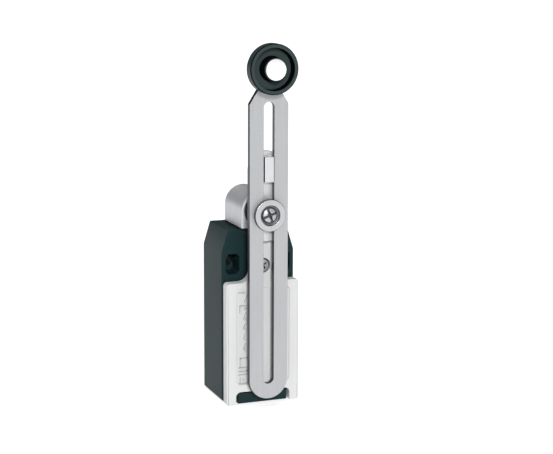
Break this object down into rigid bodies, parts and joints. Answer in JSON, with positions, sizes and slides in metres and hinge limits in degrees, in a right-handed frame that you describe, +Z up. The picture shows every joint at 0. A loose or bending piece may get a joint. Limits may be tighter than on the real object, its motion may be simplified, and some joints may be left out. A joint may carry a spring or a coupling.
{
  "type": "limit switch",
  "caption": "Plastic-bodied position switch with a die-cast rotary head and a slotted adjustable roller lever; screws to a machine and opens or closes contacts when the roller is pushed.",
  "frame": {"origin": "midway between the two fixing holes, on the flat back of the body", "axes": "+Z up towards the roller, +Y out of the back into the machine, +X to the right seen from the front"},
  "size_m": [0.03, 0.0416, 0.1419],
  "materials": {
    "body_plastic": "fine moulded texture",
    "cover_plastic": "smooth moulded",
    "rubber_black": "matte",
    "cast_head": "fine blasted casting",
    "lever_steel": "satin, brushed along its length",
    "bright_steel": "bright zinc plated",
    "polished_steel": "polished",
    "dark_steel": "phosphated",
    "roller_plastic": "smooth turned plastic",
    "bronze": "sintered",
    "contact_brass": "tin plated brass",
    "block_plastic": "moulded",
    "plunger_plastic": "moulded",
    "pusher_plastic": "smooth moulded"
  },
  "bodies": {
    "root": {"body": "body_plastic", "cover": "cover_plastic", "cover_gasket": "rubber_black", "cover_screw": "bright_steel", "head": "cast_head", "head_gasket": "rubber_black", "head_fixing_screws": "bright_steel", "shaft_bush": "bronze", "shaft_seal": "rubber_black", "pusher_spring": "bright_steel", "contact_block": "block_plastic", "contact_block_lid": "block_plastic", "return_spring": "bright_steel", "nc_terminal_left": "contact_brass", "nc_terminal_right": "contact_brass", "no_terminal_left": "contact_brass", "no_terminal_right": "contact_brass", "terminal_screws": "bright_steel", "terminal_clamps": "bright_steel"},
    "shaft": {"lever_shaft": "bright_steel", "shaft_cam": "bright_steel", "cam_pin": "dark_steel", "shaft_circlip": "dark_steel", "lever_carrier": "bright_steel", "clamp_washer": "lever_steel", "clamp_screw": "bright_steel"},
    "lever_arm": {"lever": "lever_steel", "roller_pin": "polished_steel", "roller_washer": "bright_steel"},
    "roller": {"roller": "roller_plastic"},
    "pusher": {"pusher": "pusher_plastic"},
    "contacts": {"contact_plunger": "plunger_plastic", "moving_contact": "contact_brass", "contact_spring": "bright_steel"}
  },
  "joints": [
    {"name": "lever_swing", "type": "hinge", "parent": "root", "child": "shaft", "pos_m": [0, -0.02, 0.021], "axis": [0, 1, 0], "range_deg": [-75, 75], "stiffness_Nm_per_rad": 0.12},
    {"name": "lever_adjust", "type": "slide", "parent": "shaft", "child": "lever_arm", "axis": [0, 0, 1], "range_m": [-0.02, 0.06]},
    {"name": "roller_spin", "type": "hinge", "parent": "lever_arm", "child": "roller", "pos_m": [0, -0.037, 0.077], "axis": [0, 1, 0], "continuous": true},
    {"name": "pusher_travel", "type": "slide", "parent": "root", "child": "pusher", "axis": [0, 0, -1], "range_m": [0, 0.0025], "stiffness_N_per_m": 800, "springref_m": -0.002, "deforming": ["pusher_spring"]},
    {"name": "contact_travel", "type": "slide", "parent": "root", "child": "contacts", "axis": [0, 0, -1], "range_m": [0, 0.0025], "stiffness_N_per_m": 200, "springref_m": -0.002, "deforming": ["return_spring"]}
  ],
  "couplings": [
    {"joint": "contact_travel", "follows": "pusher_travel", "ratio": 1}
  ]
}
